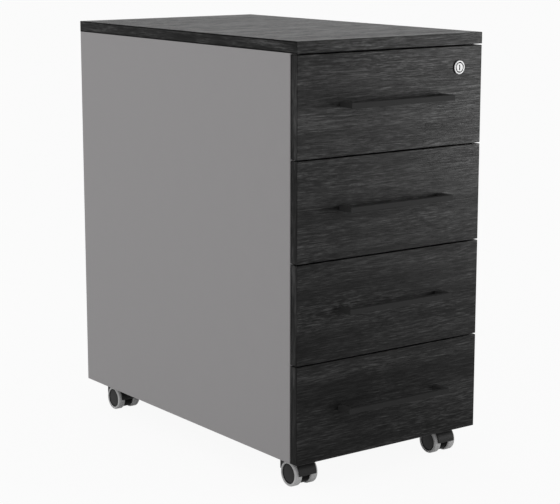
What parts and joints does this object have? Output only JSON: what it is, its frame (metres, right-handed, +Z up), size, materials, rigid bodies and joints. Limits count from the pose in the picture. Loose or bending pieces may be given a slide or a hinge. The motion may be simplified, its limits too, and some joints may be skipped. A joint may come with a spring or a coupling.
{
  "type": "mobile drawer pedestal",
  "caption": "Mobile under-desk filing cabinet with grey steel sides, dark wood-decor top and drawer fronts, black bar handles, a central lock and twin-wheel casters.",
  "frame": {"origin": "on the floor, under the middle of the overall box", "axes": "+Z up, drawer fronts face -Y and open towards -Y, +X to the right seen from the front"},
  "size_m": [0.36, 0.65, 0.682],
  "materials": {
    "dark_board": "dark charcoal wood-decor board with fine sideways grain, matte",
    "grey_steel": "mid grey powder coat, matte",
    "box_steel": "grey powder coat on the drawer boxes, matte",
    "zinc_steel": "bright zinc plate",
    "black_steel": "matte black coating",
    "lock_chrome": "bright nickel",
    "black_plastic": "matte moulded nylon",
    "grey_rubber": "light grey soft tread"
  },
  "bodies": {
    "carcass": {"top_panel": "dark_board", "left_side_panel": "grey_steel", "right_side_panel": "grey_steel", "back_panel": "grey_steel", "bottom_panel": "grey_steel", "top_rails": "black_steel", "cabinet_rails": "zinc_steel", "carcass_screws": "zinc_steel", "caster_plates": "zinc_steel"},
    "drawer_1": {"drawer_1_front": "dark_board", "drawer_1_handle": "black_steel", "drawer_1_box": "box_steel", "drawer_1_screws": "zinc_steel", "drawer_1_rails": "zinc_steel", "lock_barrel": "lock_chrome"},
    "slide_1": {"slide_1_middle_rails": "zinc_steel"},
    "drawer_2": {"drawer_2_front": "dark_board", "drawer_2_handle": "black_steel", "drawer_2_box": "box_steel", "drawer_2_screws": "zinc_steel", "drawer_2_rails": "zinc_steel"},
    "slide_2": {"slide_2_middle_rails": "zinc_steel"},
    "drawer_3": {"drawer_3_front": "dark_board", "drawer_3_handle": "black_steel", "drawer_3_box": "box_steel", "drawer_3_screws": "zinc_steel", "drawer_3_rails": "zinc_steel"},
    "slide_3": {"slide_3_middle_rails": "zinc_steel"},
    "drawer_4": {"drawer_4_front": "dark_board", "drawer_4_handle": "black_steel", "drawer_4_box": "box_steel", "drawer_4_screws": "zinc_steel", "drawer_4_rails": "zinc_steel"},
    "slide_4": {"slide_4_middle_rails": "zinc_steel"},
    "lock": {"lock_plug": "lock_chrome"},
    "locking_bar": {"locking_bar": "zinc_steel"},
    "front_left_caster": {"front_left_caster_hood": "black_plastic", "front_left_caster_axle": "zinc_steel"},
    "front_left_caster_left_wheel": {"front_left_caster_left_hub": "black_plastic", "front_left_caster_left_tyre": "grey_rubber"},
    "front_left_caster_right_wheel": {"front_left_caster_right_hub": "black_plastic", "front_left_caster_right_tyre": "grey_rubber"},
    "front_right_caster": {"front_right_caster_hood": "black_plastic", "front_right_caster_axle": "zinc_steel"},
    "front_right_caster_left_wheel": {"front_right_caster_left_hub": "black_plastic", "front_right_caster_left_tyre": "grey_rubber"},
    "front_right_caster_right_wheel": {"front_right_caster_right_hub": "black_plastic", "front_right_caster_right_tyre": "grey_rubber"},
    "rear_left_caster": {"rear_left_caster_hood": "black_plastic", "rear_left_caster_axle": "zinc_steel"},
    "rear_left_caster_left_wheel": {"rear_left_caster_left_hub": "black_plastic", "rear_left_caster_left_tyre": "grey_rubber"},
    "rear_left_caster_right_wheel": {"rear_left_caster_right_hub": "black_plastic", "rear_left_caster_right_tyre": "grey_rubber"},
    "rear_right_caster": {"rear_right_caster_hood": "black_plastic", "rear_right_caster_axle": "zinc_steel"},
    "rear_right_caster_left_wheel": {"rear_right_caster_left_hub": "black_plastic", "rear_right_caster_left_tyre": "grey_rubber"},
    "rear_right_caster_right_wheel": {"rear_right_caster_right_hub": "black_plastic", "rear_right_caster_right_tyre": "grey_rubber"}
  },
  "joints": [
    {"name": "drawer_1_slide", "type": "slide", "parent": "carcass", "child": "drawer_1", "axis": [0, -1, 0], "range_m": [0, 0.52]},
    {"name": "slide_1_extension", "type": "slide", "parent": "carcass", "child": "slide_1", "axis": [0, -1, 0], "range_m": [0, 0.26]},
    {"name": "drawer_2_slide", "type": "slide", "parent": "carcass", "child": "drawer_2", "axis": [0, -1, 0], "range_m": [0, 0.52]},
    {"name": "slide_2_extension", "type": "slide", "parent": "carcass", "child": "slide_2", "axis": [0, -1, 0], "range_m": [0, 0.26]},
    {"name": "drawer_3_slide", "type": "slide", "parent": "carcass", "child": "drawer_3", "axis": [0, -1, 0], "range_m": [0, 0.52]},
    {"name": "slide_3_extension", "type": "slide", "parent": "carcass", "child": "slide_3", "axis": [0, -1, 0], "range_m": [0, 0.26]},
    {"name": "drawer_4_slide", "type": "slide", "parent": "carcass", "child": "drawer_4", "axis": [0, -1, 0], "range_m": [0, 0.52]},
    {"name": "slide_4_extension", "type": "slide", "parent": "carcass", "child": "slide_4", "axis": [0, -1, 0], "range_m": [0, 0.26]},
    {"name": "lock_turn", "type": "hinge", "parent": "drawer_1", "child": "lock", "pos_m": [0.132, -0.297, 0.6295], "axis": [0, -1, 0], "range_deg": [0, 90]},
    {"name": "locking_bar_lift", "type": "slide", "parent": "carcass", "child": "locking_bar", "axis": [0, 0, 1], "range_m": [0, 0.00707]},
    {"name": "front_left_caster_swivel", "type": "hinge", "parent": "carcass", "child": "front_left_caster", "pos_m": [-0.141, -0.2375, 0.0445], "axis": [0, 0, 1], "continuous": true},
    {"name": "front_left_caster_left_wheel_spin", "type": "hinge", "parent": "front_left_caster", "child": "front_left_caster_left_wheel", "pos_m": [-0.141, -0.2525, 0.02], "axis": [1, 0, 0], "continuous": true},
    {"name": "front_left_caster_right_wheel_spin", "type": "hinge", "parent": "front_left_caster", "child": "front_left_caster_right_wheel", "pos_m": [-0.141, -0.2525, 0.02], "axis": [1, 0, 0], "continuous": true},
    {"name": "front_right_caster_swivel", "type": "hinge", "parent": "carcass", "child": "front_right_caster", "pos_m": [0.141, -0.2375, 0.0445], "axis": [0, 0, 1], "continuous": true},
    {"name": "front_right_caster_left_wheel_spin", "type": "hinge", "parent": "front_right_caster", "child": "front_right_caster_left_wheel", "pos_m": [0.141, -0.2525, 0.02], "axis": [1, 0, 0], "continuous": true},
    {"name": "front_right_caster_right_wheel_spin", "type": "hinge", "parent": "front_right_caster", "child": "front_right_caster_right_wheel", "pos_m": [0.141, -0.2525, 0.02], "axis": [1, 0, 0], "continuous": true},
    {"name": "rear_left_caster_swivel", "type": "hinge", "parent": "carcass", "child": "rear_left_caster", "pos_m": [-0.141, 0.2825, 0.0445], "axis": [0, 0, 1], "continuous": true},
    {"name": "rear_left_caster_left_wheel_spin", "type": "hinge", "parent": "rear_left_caster", "child": "rear_left_caster_left_wheel", "pos_m": [-0.141, 0.2675, 0.02], "axis": [1, 0, 0], "continuous": true},
    {"name": "rear_left_caster_right_wheel_spin", "type": "hinge", "parent": "rear_left_caster", "child": "rear_left_caster_right_wheel", "pos_m": [-0.141, 0.2675, 0.02], "axis": [1, 0, 0], "continuous": true},
    {"name": "rear_right_caster_swivel", "type": "hinge", "parent": "carcass", "child": "rear_right_caster", "pos_m": [0.141, 0.2825, 0.0445], "axis": [0, 0, 1], "continuous": true},
    {"name": "rear_right_caster_left_wheel_spin", "type": "hinge", "parent": "rear_right_caster", "child": "rear_right_caster_left_wheel", "pos_m": [0.141, 0.2675, 0.02], "axis": [1, 0, 0], "continuous": true},
    {"name": "rear_right_caster_right_wheel_spin", "type": "hinge", "parent": "rear_right_caster", "child": "rear_right_caster_right_wheel", "pos_m": [0.141, 0.2675, 0.02], "axis": [1, 0, 0], "continuous": true}
  ],
  "couplings": [
    {"joint": "slide_1_extension", "follows": "drawer_1_slide", "ratio": 0.5},
    {"joint": "slide_2_extension", "follows": "drawer_2_slide", "ratio": 0.5},
    {"joint": "slide_3_extension", "follows": "drawer_3_slide", "ratio": 0.5},
    {"joint": "slide_4_extension", "follows": "drawer_4_slide", "ratio": 0.5},
    {"joint": "lock_turn", "follows": "locking_bar_lift", "rad_per_m": 222.14}
  ]
}
